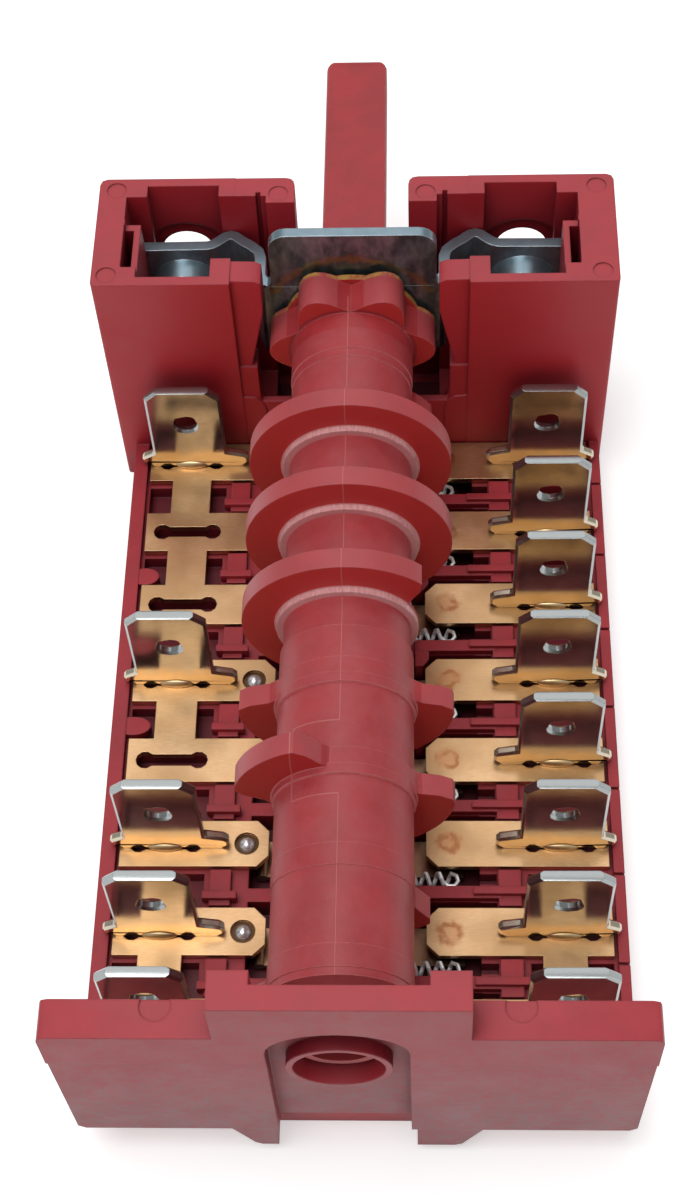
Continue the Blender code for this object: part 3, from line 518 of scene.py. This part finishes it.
def tab_material():
    """Brushed plating, with a painted reflection of the brass strips low on the blade, near the tab's root.
    """
    m = Shader("plated_tab")
    streak = m.noise(5.0, 4.0, 0.7, (0.25, 1.0, 4.0))
    cloud = m.noise(0.5, 3.0, 0.6)
    brushed = m.noise(8.0, 4.0, 0.75, (0.1, 1.0, 4.0))
    side = m.ramp(m.math("ABSOLUTE", m.facing(Y)), 0.95, 0.8)
    col = m.mix(m.ramp(cloud, 0.3, 0.7), TIN_DARK, TIN_LIGHT)
    col = m.mix(m.ramp(brushed, 0.45, 0.7, 0.0, 0.45), col, TIN_BRUSHED)
    col = m.mix(side, col, TIN_SIDE)
    # painted reflection: the brass strips show gold low on the blade, less on its sides
    root = m.plus(m.z, m.ramp(cloud, 0.3, 0.7, -0.5, 0.5))
    root = m.ramp(root, AXIS_Z + GOLD_REFLECTION_Z[0], AXIS_Z + GOLD_REFLECTION_Z[1])
    col = m.mix(m.times(root, m.minus(1.0, m.times(side, 0.6))), col, GOLD_REFLECTION)
    rough = m.plus(m.ramp(streak, 0.2, 0.8, 0.07, 0.17), m.times(side, 0.12))
    normal = m.bump(streak, 0.2, 0.015, m.edge(0.06))
    return m.finish(Base_Color=col, Metallic=0.96, Roughness=rough, Normal=normal)


def zinc_material():
    """Clouded zinc with painted highlights on its edges; the middle plate's rear face is stained and greasy.
    """
    m = Shader("zinc_plate")
    cloud = m.noise(0.8, 4.0, 0.65, (1.0, 1.0, 0.6))
    col = m.mix(m.ramp(cloud, 0.3, 0.68), ZINC_DARK, ZINC_LIGHT)
    rear = m.ramp(m.facing(Y), -0.6, -0.9)
    plate = m.times(m.below(m.apart(m.x, AXIS_X), MID_PLATE_HALF_W), rear)
    stain = m.ramp(m.noise(0.45, 3.0, 0.6, (1.6, 1.0, 0.7)), 0.4, 0.6, 0.35, 0.9)
    col = m.mix(m.times(plate, stain), col, ZINC_STAIN)
    # painted shade: upward faces turn darker teal grey
    col = m.mix(m.times(m.ramp(m.facing(Z), 0.4, 0.8), 0.8), col, ZINC_TOP_SHADE)
    # the plate runs on smoothly where it rises out of the strip, so no edge shows there
    seam = m.times(plate, m.below(m.apart(m.z, AXIS_Z + STRIP_TOP), SEAM))
    radius = m.ramp(seam, 0.0, 1.0, EDGE_R * MM, 0.0)
    # painted highlight along the edges, none where the plate rises out of the strip
    col = m.mix(m.times(m.edge_wear_and_highlight(radius), 0.8), col, ZINC_EDGE_HIGHLIGHT)
    _, dz, r = m.from_axis()
    r = m.plus(r, m.ramp(m.noise(1.1, 4.0, 0.7), 0.25, 0.75, -0.5, 0.5))
    smear = m.times(m.ramp(m.apart(r, GREASE_R), 0.5, 0.15, 0.0, 0.5), rear, m.above(dz, GREASE_FROM))
    col = m.mix(smear, col, GREASE_BROWN)
    rough = m.ramp(m.noise(1.5, 3.0, 0.6), 0.2, 0.8, 0.26, 0.38)
    normal = m.bump(m.noise(0.9, 3.0, 0.5), 0.15, 0.03, m.edge(radius))
    return m.finish(Base_Color=col, Metallic=0.85, Roughness=rough, Normal=normal)


def plain_metal(name, colour, rough, shade=0.0, metal=1.0):
    """Lightly clouded metal; shade is how strongly painted shade darkens it where it is shut in."""
    m = Shader(name)
    cloud = m.noise(2.0, 3.0, 0.6)
    col = m.mix(m.ramp(cloud, 0.3, 0.7), tuple(c * 0.85 for c in colour), colour)
    if shade:
        # painted shade where the metal is shut in
        col = m.mix(m.times(m.shut_in(5.0), shade), col, METAL_GAP_SHADE)
    return m.finish(Base_Color=col, Metallic=metal, Roughness=m.ramp(cloud, 0.2, 0.8, rough, rough + 0.1))


FINISH = {
    "housing_red": housing_material(),
    "camshaft_red": camshaft_material(),
    "follower_red": follower_material(),
    "zinc_steel": zinc_material(),
    "strip_brass": brass_material("contact_brass", weld_marks),
    "tab_tinned": tab_material(),
    "lever_copper": plain_metal("lever_copper", (0.6, 0.36, 0.22), 0.3, 0.8),
    "spring_steel": plain_metal("spring_steel", (0.9, 0.9, 0.9), 0.3, metal=0.6),
}
COMMON_BRASS = brass_material("common_brass", shaded_eyelets)
BARE_ROOT = plain_metal("bare_root", (0.9, 0.67, 0.38), 0.36)
RIVET_SILVER = plain_metal("rivet_silver", (0.95, 0.95, 0.97), 0.2, metal=0.75)
LEAF_STEEL = plain_metal("leaf_steel", (0.35, 0.35, 0.36), 0.35, 0.9)


def finish_of(node):
    if node.startswith("common_strip"):
        return COMMON_BRASS
    return LEAF_STEEL if node == "detent_spring" else FINISH[SLOT_OF[node]]


def attach(ob, mat, node):
    """Gives a piece its material, and ties it to the body that the node belongs to."""
    ob.data.materials.append(mat)
    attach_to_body(ob, BODY_OF[node])


def round_spindle(bm):
    """Soft end on the spindle: rings are cut near its tip and drawn in along a quarter circle."""
    tip = max(v.co.y for v in bm.verts)
    r = ROUND_L * MM
    for share in ROUND_RINGS:
        geom = [g for group in (bm.verts, bm.edges, bm.faces) for g in group]
        bmesh.ops.bisect_plane(bm, geom=geom, dist=1e-7, plane_co=(0, tip - r + r * share, 0),
                               plane_no=(0, 1, 0))
    end = [v for v in bm.verts if v.co.y > tip - r - 1e-6]
    middle = [(min(v.co[axis] for v in end) + max(v.co[axis] for v in end)) / 2 for axis in (X, Y, Z)]
    for v in end:
        along = max(0.0, v.co.y - tip + r) / r
        inset = ROUND_DEPTH * r * (1.0 - math.sqrt(max(0.0, 1.0 - along * along)))
        for axis, part in ROUND_SIDES:
            off = v.co[axis] - middle[axis]
            v.co[axis] = middle[axis] + off * max(0.0, 1.0 - part * inset / max(abs(off), ROUND_KEEP * MM))


def dress(node):
    """A finished copy of a CAD node: welded, smooth on its round faces, crisp at its edges."""
    src = NODES[node]
    bm = bmesh.new()
    bm.from_mesh(src.data)
    bm.transform(src.matrix_world)
    bmesh.ops.remove_doubles(bm, verts=bm.verts, dist=2e-6)
    bmesh.ops.recalc_face_normals(bm, faces=bm.faces)
    if node == "camshaft":
        round_spindle(bm)
    bm.verts.index_update()
    me = bpy.data.meshes.new(node + "_look")
    me.from_pydata([v.co[:] for v in bm.verts], [], [[v.index for v in f.verts] for f in bm.faces])
    bm.free()
    me.shade_smooth()
    me.set_sharp_from_angle(angle=math.radians(30))
    ob = bpy.data.objects.new(node + "_look", me)
    bpy.context.scene.collection.objects.link(ob)
    attach(ob, finish_of(node), node)
    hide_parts(node)


def set_in_place(name, at, size):
    """The primitive just added, smooth and brought to its size and to its place in the frame."""
    ob = bpy.context.object
    ob.name = name
    ob.data.transform(Matrix.Translation(Vector(at) * MM) @ Matrix.Diagonal((*(Vector(size) * MM), 1.0)))
    ob.data.shade_smooth()
    return ob


def fold(tab):
    """Bright rolled metal between the two holes at a tab's root."""
    corners = [NODES[tab].matrix_world @ v.co / MM for v in NODES[tab].data.vertices]
    blade = [c.x for c in corners if c.z > AXIS_Z + BLADE_FROM]
    y = min(c.y for c in corners) + FOLD_IN
    bpy.ops.mesh.primitive_uv_sphere_add(segments=20, ring_count=12, radius=1.0)
    at = ((min(blade) + max(blade)) / 2, y, AXIS_Z + FOLD_Z)
    ob = set_in_place(tab + "_fold", at, FOLD_SIZE)
    attach(ob, BARE_ROOT, tab)


def rivet(row):
    """Bright rivet head in the eyelet of a left strip."""
    bpy.ops.mesh.primitive_uv_sphere_add(segments=24, ring_count=16, radius=1.0)
    at = (AXIS_X + EYELET_X, REAR + ROW1_Y - PITCH * (row - 1), AXIS_Z + RIVET_Z)
    ob = set_in_place(f"rivet_{row}", at, (RIVET_R, RIVET_R, RIVET_R))
    attach(ob, RIVET_SILVER, "housing")


def rail_ear(y, reach):
    """Half-round ear on the left rail's inner edge, level with its top."""
    bpy.ops.mesh.primitive_cylinder_add(vertices=28, radius=1.0, depth=1.0)
    ob = set_in_place("rail_ear", (AXIS_X + EAR_X, REAR + y, AXIS_Z + RAIL_TOP), (reach, EAR_HALF_W, EAR_H))
    ob.data.set_sharp_from_angle(angle=math.radians(40))
    attach(ob, FINISH["housing_red"], "housing")


def place_camera():
    cam = bpy.data.cameras.new("camera")
    cam.sensor_fit = "AUTO"
    cam.sensor_width = SENSOR
    cam.lens = FOCAL_PX * SENSOR / PHOTO_H
    cam.shift_x = (PHOTO_W / 2 - CENTRE_PX[0]) / PHOTO_H
    cam.shift_y = (CENTRE_PX[1] - PHOTO_H / 2) / PHOTO_H
    cam.clip_start = 0.01
    ob = bpy.data.objects.new("camera", cam)
    bpy.context.scene.collection.objects.link(ob)
    right = Vector(CAMERA_RIGHT).normalized()
    up = Vector(CAMERA_UP)
    up = (up - right * up.dot(right)).normalized()
    turn = Matrix((right, up, right.cross(up))).transposed().to_4x4()
    at = Vector((AXIS_X, REAR, AXIS_Z)) + Vector(CAMERA_AT)
    ob.matrix_world = Matrix.Translation(at * MM) @ turn
    bpy.context.scene.camera = ob


def floor():
    """Pale floor that looks white a little way from the object."""
    bpy.ops.mesh.primitive_plane_add(size=FLOOR_SIZE, location=(0, 0, -FLOOR_DROP))
    ob = bpy.context.object
    ob.name = "floor"
    m = Shader("floor")
    path = m.node("LightPath")
    seen = m.math("MAXIMUM", path.outputs["Is Camera Ray"], path.outputs["Is Glossy Ray"])
    glow = m.ramp(m.length(m.x, m.y), GLOW_FROM, GLOW_TO, 0.45, 0.75)
    ob.data.materials.append(m.finish(Base_Color=(0.86, 0.86, 0.86), Roughness=0.9,
                                      Emission_Color=(1.0, 1.0, 1.0), Emission_Strength=m.times(seen, glow)))


def world():
    """Soft white light all round, and a white background for the camera."""
    studio = bpy.data.worlds.new("studio")
    bpy.context.scene.world = studio
    studio.use_nodes = True
    nodes = studio.node_tree.nodes
    background = nodes["Background"]
    background.inputs["Color"].default_value = (1, 1, 1, 1)
    level = nodes.new("ShaderNodeMapRange")
    level.inputs["To Min"].default_value = 0.4
    level.inputs["To Max"].default_value = 1.0
    path = nodes.new("ShaderNodeLightPath")
    studio.node_tree.links.new(path.outputs["Is Camera Ray"], level.inputs["Value"])
    studio.node_tree.links.new(level.outputs["Result"], background.inputs["Strength"])


def soft_lamp(name, at, size, watts):
    """Area lamp that shines on the object's middle; place and size in metres."""
    lamp = bpy.data.lights.new(name, "AREA")
    lamp.shape = "RECTANGLE"
    lamp.size, lamp.size_y = size
    lamp.energy = watts
    ob = bpy.data.objects.new(name, lamp)
    bpy.context.scene.collection.objects.link(ob)
    ob.location = at
    ob.rotation_euler = (-Vector(at)).to_track_quat("-Z", "Y").to_euler()


for name in sorted(NODES):
    dress(name)
    if "_tab_" in name:
        fold(name)
for place, ear_reach in EARS:
    rail_ear(place, ear_reach)
for number in RIVET_ROWS:
    rivet(number)
place_camera()
floor()
world()
soft_lamp("key", (-0.1, -0.08, 0.55), (0.3, 0.3), 1.5)
soft_lamp("panel", (0.0, 0.32, 0.5), (0.5, 0.4), 0.6)
bpy.context.scene.view_settings.view_transform = "Standard"
